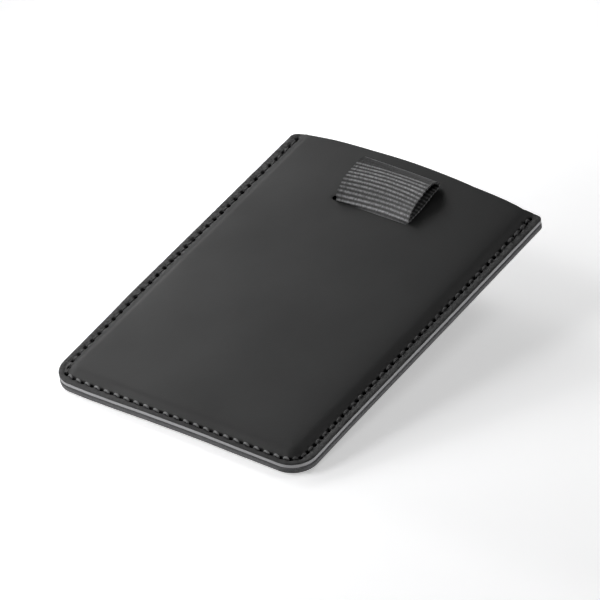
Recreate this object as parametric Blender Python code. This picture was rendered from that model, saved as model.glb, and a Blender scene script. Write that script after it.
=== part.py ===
"""A slim card holder: two stiffened covers sewn together on three sides, open at the mouth.

A ribbon strap is sewn to the back lining, runs under the cards, comes up inside the front and leaves
through a slot as a looped pull tab. Pulling the tab raises the strap's lower turn, and the cards with it.
The holder lies on its back: X across, Y towards the mouth, Z up. Metres.
"""

import math

import bmesh
import bpy

# Driving dimensions: the outline
BODY_WIDTH = 0.0700
SIDE_LENGTH = 0.0970
MOUTH_RISE = 0.0025
BOTTOM_CORNER_RADIUS = 0.0060
INNER_CORNER_RADIUS = 0.0025
MOUTH_CORNER_RADIUS = 0.0015

# Driving dimensions: the layers of each cover, outside to inside
SKIN_THICKNESS = 0.00015
BOARD_THICKNESS = 0.00085
SHIELD_THICKNESS = 0.00008
LINING_THICKNESS = 0.00012
GLUE_LINE = 0.00002
SEAM_GAP = 0.00005
SHIELD_TRIM = 0.0010

# Driving dimensions: the front's pillow and the seam
PILLOW_HEIGHT = 0.0011
PILLOW_RUN = 0.0037
SEAM_INSET = 0.0020
STITCH_PITCH = 0.00276
THREAD_DIAMETER = 0.0004
THREAD_CLEARANCE = 0.00003
STITCH_ARCH = 0.00012
SEAM_END_GAP = 0.0017
GROOVE_FLOOR_WIDTH = 0.0005
GROOVE_SLOPE_WIDTH = 0.00015
NEEDLE_GROOVE_DEPTH = 0.00022

# Driving dimensions: the strap, its slot and its tab
RIBBON_WIDTH = 0.0198
RIBBON_THICKNESS = 0.0004
RIBBON_CLEARANCE = 0.00005
RIB_PITCH = 0.0011
RIB_HEIGHT = 0.00006
STRAP_OFFSET = -0.0013
SLOT_FROM_MOUTH = 0.0190
SLOT_END_CLEARANCE = 0.0008
SLOT_OPENING = 0.0016
LAYER_SPACING = 0.0007
TAB_REACH = 0.0139
TAB_HEIGHT = 0.0034
TAB_SEAT_GAP = 0.0003
STRAP_BEND_RADIUS = 0.0003
TAIL_LENGTH = 0.0120
CRADLE_LEG = 0.0035
CRADLE_TRAVEL = 0.0300
JOIN_GAP = 0.00005
ANCHOR_THREAD_DIAMETER = 0.0002
ANCHOR_DEPTH = 0.0030
ANCHOR_SIDE_MARGIN = 0.0018
ANCHOR_EDGE_MARGIN = 0.0004

# How soon the pillow's rise flattens: its slope falls off with this power
PILLOW_POWER = 3

# One overrun serves the slot's cutter
CUT_OVERRUN = 0.0010

# Edges sharper than this stay crisp
SHARP_ANGLE = math.radians(35)

# Numbers of steps
CORNER_STEPS = 8
MOUTH_STEPS = 24
MOUTH_CORNER_STEPS = 4
PILLOW_STEPS = 6
POINTS_PER_STITCH = 3
CURVE_STEPS = 6
BEND_STEPS = 6
RIB_STEPS = 4
RIB_CROWN_STEPS = (1, 2)
SLOT_END_STEPS = 8
ANCHOR_WAVES = 6
ANCHOR_STEPS = 8

# The tab's side view, as shares of its reach and height, from its start at the slot over its crown and back
TAB_PROFILE_SHARES = (
    (0.00, 0.00),
    (0.01, 0.12),
    (0.04, 0.26),
    (0.10, 0.40),
    (0.19, 0.55),
    (0.30, 0.69),
    (0.42, 0.83),
    (0.54, 0.94),
    (0.66, 1.00),
    (0.77, 0.97),
    (0.88, 0.84),
    (0.96, 0.60),
    (1.00, 0.36),
    (0.97, 0.22),
    (0.89, 0.17),
    (0.77, 0.19),
    (0.62, 0.20),
    (0.46, 0.17),
    (0.30, 0.10),
    (0.17, 0.05),
    (0.10, 0.03),
)

# Sizes that follow
HALF_WIDTH = BODY_WIDTH / 2
BODY_LENGTH = SIDE_LENGTH + MOUTH_RISE
BOTTOM_Y = -BODY_LENGTH / 2
MOUTH_CORNER_Y = BOTTOM_Y + SIDE_LENGTH
MOUTH_RADIUS = (HALF_WIDTH**2 + MOUTH_RISE**2) / (2 * MOUTH_RISE)
COVER_THICKNESS = (
    SKIN_THICKNESS + BOARD_THICKNESS + SHIELD_THICKNESS + LINING_THICKNESS + 3 * GLUE_LINE
)
BODY_THICKNESS = 2 * COVER_THICKNESS + SEAM_GAP
PILLOW_START = SEAM_INSET + GROOVE_FLOOR_WIDTH / 2 + GROOVE_SLOPE_WIDTH
FRONT_TOP = BODY_THICKNESS + PILLOW_HEIGHT
BOBBIN_GROOVE_DEPTH = THREAD_DIAMETER + STITCH_ARCH + 2 * THREAD_CLEARANCE
POCKET_FLOOR = COVER_THICKNESS
POCKET_ROOF = COVER_THICKNESS + SEAM_GAP + PILLOW_HEIGHT
BACK_RUN_Z = POCKET_FLOOR + RIBBON_CLEARANCE + RIBBON_THICKNESS / 2
FRONT_RUN_Z = POCKET_ROOF - RIBBON_CLEARANCE - RIBBON_THICKNESS / 2
TAIL_Z = FRONT_RUN_Z - RIBBON_THICKNESS - RIBBON_CLEARANCE
SLOT_Y = MOUTH_CORNER_Y + MOUTH_RISE - SLOT_FROM_MOUTH
CRADLE_Y = BOTTOM_Y + PILLOW_START + PILLOW_RUN + RIBBON_THICKNESS
ANCHOR_Y = CRADLE_Y + CRADLE_LEG + CRADLE_TRAVEL + ANCHOR_DEPTH
STRAP_SEAT = (STRAP_OFFSET, SLOT_Y, FRONT_TOP + TAB_SEAT_GAP)
CRADLE_SEAT = (STRAP_OFFSET, CRADLE_Y, (BACK_RUN_Z + FRONT_RUN_Z) / 2)


def material(name, colour, roughness, metallic=0.0):
    made = bpy.data.materials.new(name)
    made.use_nodes = True
    shader = made.node_tree.nodes["Principled BSDF"]
    shader.inputs["Base Color"].default_value = (*colour, 1.0)
    shader.inputs["Roughness"].default_value = roughness
    shader.inputs["Metallic"].default_value = metallic
    made.diffuse_color = (*colour, 1.0)
    return made


def place(name, data, finish, parent):
    piece = bpy.data.objects.new(name, data)
    bpy.context.scene.collection.objects.link(piece)
    piece.data.materials.append(finish)
    piece.parent = parent
    return piece


def mesh_from(name, points, faces):
    mesh = bpy.data.meshes.new(name)
    mesh.from_pydata(points, [], faces)
    shape = bmesh.new()
    shape.from_mesh(mesh)
    bmesh.ops.recalc_face_normals(shape, faces=shape.faces)
    shape.to_mesh(mesh)
    shape.free()
    mesh.shade_smooth()
    mesh.set_sharp_from_angle(angle=SHARP_ANGLE)
    return mesh


# The outline and its insets
def mouth_y(x):
    """The mouth's shallow outward arc."""
    drop = MOUTH_RADIUS - math.sqrt(MOUTH_RADIUS**2 - x**2)
    return MOUTH_CORNER_Y + MOUTH_RISE - drop


def mouth_corner_levels(trim):
    """Insets at which a sheet trimmed by trim crosses the rounding of its mouth corners."""
    radius = MOUTH_CORNER_RADIUS - trim
    if radius <= 0:
        return [trim]
    turns = [step / MOUTH_CORNER_STEPS * math.pi / 2 for step in range(MOUTH_CORNER_STEPS + 1)]
    return [trim + radius * (1 - math.cos(turn)) for turn in turns]


def groove_levels():
    inner = GROOVE_FLOOR_WIDTH / 2
    outer = inner + GROOVE_SLOPE_WIDTH
    return [SEAM_INSET - outer, SEAM_INSET - inner, SEAM_INSET + inner, SEAM_INSET + outer]


def pillow_levels():
    return [PILLOW_START + PILLOW_RUN * step / PILLOW_STEPS for step in range(PILLOW_STEPS + 1)]


def sheet_levels(trim, grooved, pillowed):
    levels = mouth_corner_levels(trim)
    if grooved:
        levels += [level for level in groove_levels() if level > levels[-1]]
    if pillowed:
        levels += [level for level in pillow_levels() if level > levels[-1]]
    return levels


def line_end_y(inset, trim):
    """Where the line at this inset meets the mouth of a sheet trimmed by trim."""
    radius = MOUTH_CORNER_RADIUS - trim
    if radius <= 0 or inset >= MOUTH_CORNER_RADIUS:
        return mouth_y(HALF_WIDTH - inset) - trim
    turn = math.acos(1 - (inset - trim) / radius)
    corner_top = mouth_y(HALF_WIDTH - MOUTH_CORNER_RADIUS) - trim
    return corner_top - radius * (1 - math.sin(turn))


def line_round(inset, trim):
    """From the mouth down the left side, round the two lower corners and up to the mouth again."""
    radius = max(BOTTOM_CORNER_RADIUS - inset, INNER_CORNER_RADIUS)
    centre_x = HALF_WIDTH - inset - radius
    centre_y = BOTTOM_Y + inset + radius
    turns = [step / CORNER_STEPS * math.pi / 2 for step in range(CORNER_STEPS + 1)]
    left = [(-centre_x - radius * math.cos(t), centre_y - radius * math.sin(t)) for t in turns]
    right = [(-x, y) for x, y in reversed(left)]
    end_y = line_end_y(inset, trim)
    return [(inset - HALF_WIDTH, end_y), *left, *right, (HALF_WIDTH - inset, end_y)]


# Heights across the seam and the pillow
def pillow(inset):
    """Rise of the front's middle: steep beside the seam, where the thread pulls it in, and soon flat."""
    share = min(max((inset - PILLOW_START) / PILLOW_RUN, 0.0), 1.0)
    return PILLOW_HEIGHT * (1 - (1 - share) ** PILLOW_POWER)


def groove(inset, depth):
    """Depth of the pressed line that the thread lies in."""
    past_floor = abs(inset - SEAM_INSET) - GROOVE_FLOOR_WIDTH / 2
    share = min(max(1 - past_floor / GROOVE_SLOPE_WIDTH, 0.0), 1.0)
    return depth * share


def sheet(name, finish, parent, levels, trim, low, high):
    """One layer of a cover: rings at rising insets, closed over the middle, its two faces alike."""
    lines = [line_round(inset, trim) for inset in levels]
    count = len(lines[0])
    last_half = HALF_WIDTH - levels[-1]
    mouth_xs = [last_half * (1 - 2 * step / MOUTH_STEPS) for step in range(1, MOUTH_STEPS)]
    mouth = [(x, mouth_y(x) - trim) for x in mouth_xs]
    flat = [point for line in lines for point in line] + mouth
    insets = [inset for inset in levels for _ in range(count)] + [levels[-1]] * len(mouth)
    upper = [(x, y, high(inset)) for (x, y), inset in zip(flat, insets)]
    lower = [(x, y, low(inset)) for (x, y), inset in zip(flat, insets)]
    total = len(flat)

    faces = []
    for ring in range(len(levels) - 1):
        for step in range(count - 1):
            a = ring * count + step
            quad = (a, a + 1, a + count + 1, a + count)
            faces.append(quad)
            faces.append(tuple(total + corner for corner in reversed(quad)))
    inner = list(range((len(levels) - 1) * count, total))
    faces.append(tuple(inner))
    faces.append(tuple(total + corner for corner in reversed(inner)))

    left_ends = [ring * count for ring in range(len(levels))]
    right_ends = [ring * count + count - 1 for ring in range(len(levels))]
    across_mouth = list(range(len(levels) * count, total))
    edge = list(range(count)) + right_ends[1:] + across_mouth + left_ends[:0:-1]
    for here, there in zip(edge, edge[1:] + edge[:1]):
        faces.append((here, total + here, total + there, there))
    return place(name, mesh_from(name, upper + lower, faces), finish, parent)


def slot_cutter(parent):
    """A stadium-shaped bar through the front cover, where the strap comes out."""
    radius = SLOT_OPENING / 2
    half = RIBBON_WIDTH / 2 + SLOT_END_CLEARANCE - radius
    turns = [step / SLOT_END_STEPS * math.pi - math.pi / 2 for step in range(SLOT_END_STEPS + 1)]
    right = [(half + radius * math.cos(t), radius * math.sin(t)) for t in turns]
    ring = right + [(-x, -y) for x, y in right]
    low = POCKET_ROOF - CUT_OVERRUN
    high = FRONT_TOP + CUT_OVERRUN
    count = len(ring)
    points = [(x, y, low) for x, y in ring] + [(x, y, high) for x, y in ring]
    sides = [(i, (i + 1) % count, count + (i + 1) % count, count + i) for i in range(count)]
    caps = [tuple(reversed(range(count))), tuple(range(count, 2 * count))]
    mesh = mesh_from("slot_cutter", points, sides + caps)
    cutter = bpy.data.objects.new("slot_cutter", mesh)
    bpy.context.scene.collection.objects.link(cutter)
    cutter.location = (STRAP_OFFSET, SLOT_Y, 0.0)
    cutter.parent = parent
    cutter.hide_render = True
    cutter.display_type = "WIRE"
    return cutter


def cut_slot(piece, cutter):
    cut = piece.modifiers.new("slot", "BOOLEAN")
    cut.operation = "DIFFERENCE"
    cut.solver = "EXACT"
    cut.object = cutter


def back_cover(parent, finishes):
    """The back's four layers, lying flat, with the bobbin thread's groove pressed up into them."""
    grooved = sheet_levels(0.0, True, False)
    plain = sheet_levels(0.0, False, False)
    trimmed = sheet_levels(SHIELD_TRIM, False, False)
    board_low = SKIN_THICKNESS + GLUE_LINE
    board_high = board_low + BOARD_THICKNESS
    shield_low = board_high + GLUE_LINE
    shield_high = shield_low + SHIELD_THICKNESS
    lining_low = shield_high + GLUE_LINE
    lining_high = lining_low + LINING_THICKNESS

    def pressed(height):
        return lambda inset: height + groove(inset, BOBBIN_GROOVE_DEPTH)

    def level(height):
        return lambda inset: height

    skin, board = finishes["skin"], finishes["back_board"]
    shield, lining = finishes["shield"], finishes["lining"]
    sheet("back_cover", skin, parent, grooved, 0.0, pressed(0.0), pressed(SKIN_THICKNESS))
    sheet("back_board", board, parent, grooved, 0.0, pressed(board_low), level(board_high))
    sheet("back_shield", shield, parent, trimmed, SHIELD_TRIM, level(shield_low), level(shield_high))
    sheet("back_lining", lining, parent, plain, 0.0, level(lining_low), level(lining_high))


def front_cover(parent, finishes):
    """The front's four layers, pillowed inside the seam, with the needle thread's groove and the slot."""
    grooved = sheet_levels(0.0, True, True)
    plain = sheet_levels(0.0, False, True)
    trimmed = sheet_levels(SHIELD_TRIM, False, True)
    lining_low = COVER_THICKNESS + SEAM_GAP
    lining_high = lining_low + LINING_THICKNESS
    shield_low = lining_high + GLUE_LINE
    shield_high = shield_low + SHIELD_THICKNESS
    board_low = shield_high + GLUE_LINE
    board_high = board_low + BOARD_THICKNESS
    skin_low = board_high + GLUE_LINE
    skin_high = skin_low + SKIN_THICKNESS

    def pressed(height):
        return lambda inset: height + pillow(inset) - groove(inset, NEEDLE_GROOVE_DEPTH)

    def domed(height):
        return lambda inset: height + pillow(inset)

    skin, board = finishes["skin"], finishes["front_board"]
    shield, lining = finishes["shield"], finishes["lining"]
    layers = (
        sheet("front_lining", lining, parent, plain, 0.0, domed(lining_low), domed(lining_high)),
        sheet("front_shield", shield, parent, trimmed, SHIELD_TRIM, domed(shield_low), domed(shield_high)),
        sheet("front_board", board, parent, grooved, 0.0, domed(board_low), pressed(board_high)),
        sheet("front_cover", skin, parent, grooved, 0.0, pressed(skin_low), pressed(skin_high)),
    )
    cutter = slot_cutter(parent)
    for layer in layers:
        cut_slot(layer, cutter)


# The seam
def seam_route():
    """The seam's centre line from the left end at the mouth, as a function of the distance along it."""
    radius = BOTTOM_CORNER_RADIUS - SEAM_INSET
    half = HALF_WIDTH - SEAM_INSET
    top = mouth_y(half) - SEAM_END_GAP
    low = BOTTOM_Y + SEAM_INSET
    side = top - low - radius
    across = 2 * (half - radius)
    quarter = radius * math.pi / 2
    total = 2 * (side + quarter) + across

    def at(distance):
        if distance > total / 2:
            x, y = at(total - distance)
            return -x, y
        if distance <= side:
            return -half, top - distance
        if distance <= side + quarter:
            turn = (distance - side) / radius
            return -half + radius * (1 - math.cos(turn)), low + radius * (1 - math.sin(turn))
        return -half + radius + distance - side - quarter, low

    return at, total


def seam_thread(name, finish, parent, floor_z, outward):
    """One thread of the lockstitch: it arches from hole to hole along its groove."""
    at, total = seam_route()
    stitches = round(total / STITCH_PITCH)
    steps = stitches * POINTS_PER_STITCH
    radius = THREAD_DIAMETER / 2
    curve = bpy.data.curves.new(name, "CURVE")
    curve.dimensions = "3D"
    curve.bevel_depth = radius
    curve.bevel_resolution = 1
    curve.use_fill_caps = True
    spline = curve.splines.new("POLY")
    spline.points.add(steps)
    for step in range(steps + 1):
        x, y = at(total * step / steps)
        arch = 0.0 if step % POINTS_PER_STITCH == 0 else STITCH_ARCH
        z = floor_z + outward * (radius + THREAD_CLEARANCE + arch)
        spline.points[step].co = (x, y, z, 1.0)
    return place(name, curve, finish, parent)


# The strap
def between(before, here, there, after, t):
    """The value at share t from here to there, on a smooth curve that also heeds its neighbours."""
    first = (there - before) * t
    second = (2 * before - 5 * here + 4 * there - after) * t**2
    third = (3 * here - before - 3 * there + after) * t**3
    return here + (first + second + third) / 2


def smooth_route(points):
    """A smooth curve through the points."""
    padded = [points[0], *points, points[-1]]
    route = []
    for four in zip(padded, padded[1:], padded[2:], padded[3:]):
        for step in range(CURVE_STEPS):
            route.append(tuple(between(*values, step / CURVE_STEPS) for values in zip(*four)))
    return [*route, points[-1]]


def bent_route(points, radius):
    """Straight runs through the points with a round bend at each inner one."""
    route = [points[0]]
    for before, corner, after in zip(points, points[1:], points[2:]):
        back = (before[0] - corner[0], before[1] - corner[1])
        on = (after[0] - corner[0], after[1] - corner[1])
        back_angle = math.atan2(back[1], back[0])
        on_angle = math.atan2(on[1], on[0])
        opening = (on_angle - back_angle + math.pi) % (2 * math.pi) - math.pi
        middle_angle = back_angle + opening / 2
        reach = radius / math.sin(abs(opening) / 2)
        centre = (corner[0] + reach * math.cos(middle_angle), corner[1] + reach * math.sin(middle_angle))
        side = math.copysign(1.0, opening)
        first = back_angle - side * math.pi / 2
        turn = side * (abs(opening) - math.pi)
        for step in range(BEND_STEPS + 1):
            angle = first + turn * step / BEND_STEPS
            route.append((centre[0] + radius * math.cos(angle), centre[1] + radius * math.sin(angle)))
    return [*route, points[-1]]


def resampled(route, spacing):
    """Points of the route at even steps of about the spacing, ends kept."""
    lengths = [0.0]
    for (y0, z0), (y1, z1) in zip(route, route[1:]):
        lengths.append(lengths[-1] + math.hypot(y1 - y0, z1 - z0))
    count = max(round(lengths[-1] / spacing), 1)
    points = []
    index = 0
    for step in range(count + 1):
        wanted = lengths[-1] * step / count
        while index < len(lengths) - 2 and lengths[index + 1] < wanted:
            index += 1
        share = (wanted - lengths[index]) / (lengths[index + 1] - lengths[index])
        (y0, z0), (y1, z1) = route[index], route[index + 1]
        points.append((y0 + (y1 - y0) * share, z0 + (z1 - z0) * share))
    return points


def joint_empty(name, location, parent):
    empty = bpy.data.objects.new(name, None)
    bpy.context.scene.collection.objects.link(empty)
    empty.location = location
    empty.parent = parent
    return empty


def ribbon(name, finish, parent, seat, route, ribbed=False):
    """A length of ribbon along a route in the YZ plane, with woven cross ribs where they show."""
    if ribbed:
        route = resampled(route, RIB_PITCH / RIB_STEPS)
    near, far = [], []
    for index, (y, z) in enumerate(route):
        before, after = route[max(index - 1, 0)], route[min(index + 1, len(route) - 1)]
        along = (after[0] - before[0], after[1] - before[1])
        length = math.hypot(*along)
        raised = ribbed and index % RIB_STEPS in RIB_CROWN_STEPS
        half = RIBBON_THICKNESS / 2 + (RIB_HEIGHT if raised else 0.0)
        shift = (-along[1] / length * half, along[0] / length * half)
        near.append((y + shift[0], z + shift[1]))
        far.append((y - shift[0], z - shift[1]))
    outline = near + far[::-1]
    shape = bmesh.new()
    left = -RIBBON_WIDTH / 2
    corners = [shape.verts.new((left, y - seat[1], z - seat[2])) for y, z in outline]
    side = shape.faces.new(corners)
    grown = bmesh.ops.extrude_face_region(shape, geom=[side])
    moved = [item for item in grown["geom"] if isinstance(item, bmesh.types.BMVert)]
    bmesh.ops.translate(shape, vec=(RIBBON_WIDTH, 0.0, 0.0), verts=moved)
    bmesh.ops.recalc_face_normals(shape, faces=shape.faces)
    mesh = bpy.data.meshes.new(name)
    shape.to_mesh(mesh)
    shape.free()
    return place(name, mesh, finish, parent)


def pull_tab(finish, parent):
    """The looped tab above the cover: out of the slot, over its crown, round its end and back below."""
    start_y = SLOT_Y - LAYER_SPACING / 2
    start_z = FRONT_TOP + TAB_SEAT_GAP
    points = [(start_y + y * TAB_REACH, start_z + z * TAB_HEIGHT) for y, z in TAB_PROFILE_SHARES]
    ribbon("pull_tab", finish, parent, STRAP_SEAT, smooth_route(points), ribbed=True)
    return points


def strap_runs(finish, parent, tab_points):
    """The strap below the tab: its front run down to the cradle, and the sewn tail of its lower layer."""
    up_y = SLOT_Y - LAYER_SPACING / 2
    front = [
        (up_y, tab_points[0][1] - JOIN_GAP),
        (up_y, FRONT_RUN_Z),
        (CRADLE_Y + CRADLE_LEG + JOIN_GAP, FRONT_RUN_Z),
    ]
    ribbon("strap_front_run", finish, parent, STRAP_SEAT, bent_route(front, STRAP_BEND_RADIUS))
    down_y = SLOT_Y + LAYER_SPACING / 2
    tab_end = tab_points[-1]
    tail = [
        (tab_end[0] - JOIN_GAP, tab_end[1]),
        (down_y, tab_end[1]),
        (down_y, TAIL_Z),
        (SLOT_Y - TAIL_LENGTH, TAIL_Z),
    ]
    ribbon("tab_tail", finish, parent, STRAP_SEAT, bent_route(tail, STRAP_BEND_RADIUS))


def strap_cradle(finish, parent):
    """The strap's turn below the cards, from the back run round to the front run."""
    radius = (FRONT_RUN_Z - BACK_RUN_Z) / 2
    centre = (CRADLE_Y + radius, BACK_RUN_Z + radius)
    turns = [math.pi * step / (2 * BEND_STEPS) for step in range(2 * BEND_STEPS + 1)]
    bend = [(centre[0] - radius * math.sin(t), centre[1] - radius * math.cos(t)) for t in turns]
    end_y = CRADLE_Y + CRADLE_LEG
    route = [(end_y, BACK_RUN_Z), *bend, (end_y, FRONT_RUN_Z)]
    ribbon("strap_cradle", finish, parent, CRADLE_SEAT, route)


def strap_anchor(finishes, parent):
    """The strap's back run and the wave of stitches that sews its end to the back lining."""
    route = [(CRADLE_Y + CRADLE_LEG + JOIN_GAP, BACK_RUN_Z), (ANCHOR_Y, BACK_RUN_Z)]
    run = ribbon("strap_back_run", finishes["ribbon"], parent, (0.0, 0.0, 0.0), route)
    run.location.x = STRAP_OFFSET
    radius = ANCHOR_THREAD_DIAMETER / 2
    half = RIBBON_WIDTH / 2 - ANCHOR_SIDE_MARGIN
    swing = ANCHOR_DEPTH / 2 - ANCHOR_EDGE_MARGIN
    z = BACK_RUN_Z + RIBBON_THICKNESS / 2 + THREAD_CLEARANCE + radius
    curve = bpy.data.curves.new("anchor_stitch", "CURVE")
    curve.dimensions = "3D"
    curve.bevel_depth = radius
    curve.bevel_resolution = 1
    curve.use_fill_caps = True
    spline = curve.splines.new("POLY")
    steps = ANCHOR_WAVES * ANCHOR_STEPS
    spline.points.add(steps)
    for step in range(steps + 1):
        x = -half + 2 * half * step / steps
        y = ANCHOR_Y - ANCHOR_DEPTH / 2 + swing * math.sin(2 * math.pi * step / ANCHOR_STEPS)
        spline.points[step].co = (x, y, z, 1.0)
    stitch = place("anchor_stitch", curve, finishes["thread"], parent)
    stitch.location.x = STRAP_OFFSET


def build():
    for old in list(bpy.data.objects):
        bpy.data.objects.remove(old, do_unlink=True)

    finishes = {
        "skin": material("coated_skin", (0.035, 0.035, 0.036), 0.55),
        "front_board": material("pale_board", (0.30, 0.30, 0.30), 0.85),
        "back_board": material("dark_board", (0.09, 0.09, 0.09), 0.85),
        "shield": material("foil", (0.80, 0.80, 0.82), 0.30, 1.0),
        "lining": material("woven_lining", (0.02, 0.02, 0.02), 0.80),
        "thread": material("black_thread", (0.05, 0.05, 0.05), 0.60),
        "ribbon": material("ribbed_ribbon", (0.08, 0.08, 0.08), 0.70),
    }
    holder = joint_empty("holder_frame", (0.0, 0.0, 0.0), None)
    strap_slide = joint_empty("strap_slide_frame", STRAP_SEAT, holder)
    tab_hinge = joint_empty("tab_hinge_frame", (0.0, 0.0, 0.0), strap_slide)
    cradle_slide = joint_empty("cradle_slide_frame", CRADLE_SEAT, holder)

    back_cover(holder, finishes)
    front_cover(holder, finishes)
    seam_thread("needle_thread", finishes["thread"], holder, BODY_THICKNESS - NEEDLE_GROOVE_DEPTH, 1)
    seam_thread("bobbin_thread", finishes["thread"], holder, BOBBIN_GROOVE_DEPTH, -1)
    tab_points = pull_tab(finishes["ribbon"], tab_hinge)
    strap_runs(finishes["ribbon"], strap_slide, tab_points)
    strap_cradle(finishes["ribbon"], cradle_slide)
    strap_anchor(finishes, holder)


build()
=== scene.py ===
"""The card holder's looks: skins, boards, linings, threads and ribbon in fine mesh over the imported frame.

The holder lies on its back: X across, Y towards the mouth, Z up. Shapes are worked out in millimetres
and scaled to metres when their mesh is made.
"""
import math

import bmesh
import bpy
import numpy as np
from mathutils import Matrix, Vector
from mathutils.geometry import delaunay_2d_cdt


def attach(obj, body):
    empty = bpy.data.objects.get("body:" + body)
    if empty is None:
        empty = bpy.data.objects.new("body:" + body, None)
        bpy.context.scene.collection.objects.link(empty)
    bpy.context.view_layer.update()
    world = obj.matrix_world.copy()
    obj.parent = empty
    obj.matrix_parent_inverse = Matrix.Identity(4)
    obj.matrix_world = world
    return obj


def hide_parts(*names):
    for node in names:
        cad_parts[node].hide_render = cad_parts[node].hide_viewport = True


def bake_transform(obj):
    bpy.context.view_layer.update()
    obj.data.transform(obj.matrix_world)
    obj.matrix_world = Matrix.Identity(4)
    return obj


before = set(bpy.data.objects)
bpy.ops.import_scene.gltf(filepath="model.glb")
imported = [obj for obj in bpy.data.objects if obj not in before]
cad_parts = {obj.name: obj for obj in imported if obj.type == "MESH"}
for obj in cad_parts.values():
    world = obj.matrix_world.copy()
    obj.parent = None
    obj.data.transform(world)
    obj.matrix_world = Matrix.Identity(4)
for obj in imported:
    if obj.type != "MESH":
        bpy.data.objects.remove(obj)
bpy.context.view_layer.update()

MM = 0.001

# The outline
HALF = 35.0
BOTTOM = -49.75
PEAK = 49.75
MOUTH_RADIUS = 246.25
CORNER = 6.0
INNER_CORNER = 2.5
MOUTH_CORNER = 1.5

# Heights of the layers at the seam
BACK_SKIN = (0.0, 0.15)
BACK_BOARD = (0.16, 1.03)
BACK_LINING = (1.13, 1.26)
FRONT_LINING = (1.31, 1.44)
FRONT_BOARD = (1.54, 2.41)
FRONT_SKIN = (2.41, 2.57)

# The raised middle: its slope, the softer share of it towards the right between two x, and its slight dome
PILLOW_START = 2.2
PILLOW_RUN = 3.1
PILLOW_HEIGHT = 1.1
SOFT_RUN = 6.5
SOFT_SHARE = 0.30
SOFT_FROM, SOFT_TO = 5.0, 30.0
DOME_RUN = 14.0
DOME_SHARE = 0.16

# How far the cut edges stray from the design: places along each edge, and millimetres
CUT_REACH = 1.7
LIP_REACH = 5.0
LEFT_STRAY = ((-46, -38, -26, -18, 44), (0.58, 0.48, 0.26, 0.04, -0.02))
RIGHT_STRAY = ((-46, -30, 10, 46), (0.25, 0.12, 0.16, 0.10))
FOOT_STRAY = ((-32, -24, -16, -8, 2, 9, 16, 30), (0.15, -0.05, 0.05, 0.28, 0.42, 0.45, 0.32, 0.22))
CORNER_STRAY = ((0, 20, 40, 60, 75, 90), (0.56, 0.54, 0.42, 0.30, 0.16, 0.08))
LIP_STRAY = ((-34, -32.6, -31.6, -30.6, -29.6, -27.5, -24, -21, -13, -9, -5, -1, 3, 7, 11, 15.5, 24, 28, 30, 31,
              32, 33),
             (0, -0.35, 0.04, 0.56, 0.56, 0.44, 0.26, 0.26, 0.33, 0.27, 0.22, 0.23, 0.35, 0.47, 0.60, 0.82, 0.76,
              0.84, 0.95, 0.60, 0.22, 0))

# The seam, sewn by hand: its columns wander and its pitch varies. Each table gives places by a hole's order
SEAM = 2.0
PITCH = 2.755
COLUMN_HOLES = 34
LEFT_SEAM_X = ((0, 11, 15, 19, 24, 28, 31, 32, 33),
               (-33.0, -33.07, -33.25, -33.2, -33.03, -32.84, -32.7, -32.5, -31.85))
LEFT_SEAM_Y = ((0, 5, 10, 15, 20, 25, 29, 30, 31, 32, 33),
               (45.65, 31.9, 18.25, 4.45, -9.65, -24.05, -35.2, -37.85, -40.45, -42.95, -45.2))
RIGHT_SEAM_X = ((0, 1, 3, 5, 28, 29, 30, 31, 32, 33),
                (32.85, 32.88, 32.92, 32.85, 32.82, 32.7, 32.7, 32.78, 32.42, 32.62))
RIGHT_SEAM_Y = ((0, 4, 15, 22, 26, 27, 28, 29, 30, 31, 32, 33),
                (-43.6, -32.85, -2.15, 17.0, 27.8, 30.4, 33.0, 35.9, 38.5, 41.0, 43.7, 45.65))
LEFT_CORNER_HOLES = [(-31.08, -47.10), (-28.60, -47.58), (-26.10, -47.75)]
RIGHT_CORNER_HOLES = [(28.75, -47.75), (30.95, -47.17), (32.55, -45.80)]
FOOT_FIRST = 3.463
FOOT_HOLES = 19
TACK_INSET = 2.16
LEFT_TACK_Y = (45.0, 42.6, 40.0, 37.2, 34.6)
RIGHT_TACK_Y = (43.9, 41.4, 38.8, 36.1)

# The needle's holes: half their length and width, their slant across the seam, and the dish around them
HOLE_HALF = (0.62, 0.45)
TACK_HALF = (0.50, 0.33)
HOLE_SLANT = math.radians(9)
HOLE_DEPTH = 0.75
HOLE_RIM = 0.62
HOLE_NEAR = 1.4
OPEN_HOLE = 0.45
DISH_WIDTH = 2.1
DISH_DEPTH = 0.07
TRENCH = (1.25, 3.0)

# The pressed border of the covers, and the corner where handling has darkened the boards
BORDER = 3.1
BORDER_FADE = 0.6
LEAST_BORDER = 0.12
HANDLED = (32.0, -48.2)
HANDLED_REACH = 3.5

# The slot and the strap
STRAP_X = -1.3
SLOT_Y = 30.75
SLOT_HALF_LENGTH = 10.7
SLOT_HALF_WIDTH = 0.8
SLOT_REACH = SLOT_HALF_LENGTH - SLOT_HALF_WIDTH
RIBBON_WIDTH = 19.8
RIB_PITCH = 1.1
LAYER_SPACING = 0.7
FRONT_TOP = 3.67
FRONT_RUN_Z = 2.16
BACK_RUN_Z = 1.51
TAIL_Z = 1.71
TAIL = 12.0
CRADLE_Y = -43.25
CRADLE_LEG = 3.5
ANCHOR_Y = -6.75
TRAVEL = 60.0


# Outline and height functions
def mouth_y(x):
    """The mouth's edge, an arc, at x."""
    return PEAK - MOUTH_RADIUS + np.sqrt(MOUTH_RADIUS**2 - np.asarray(x, float) ** 2)


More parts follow.
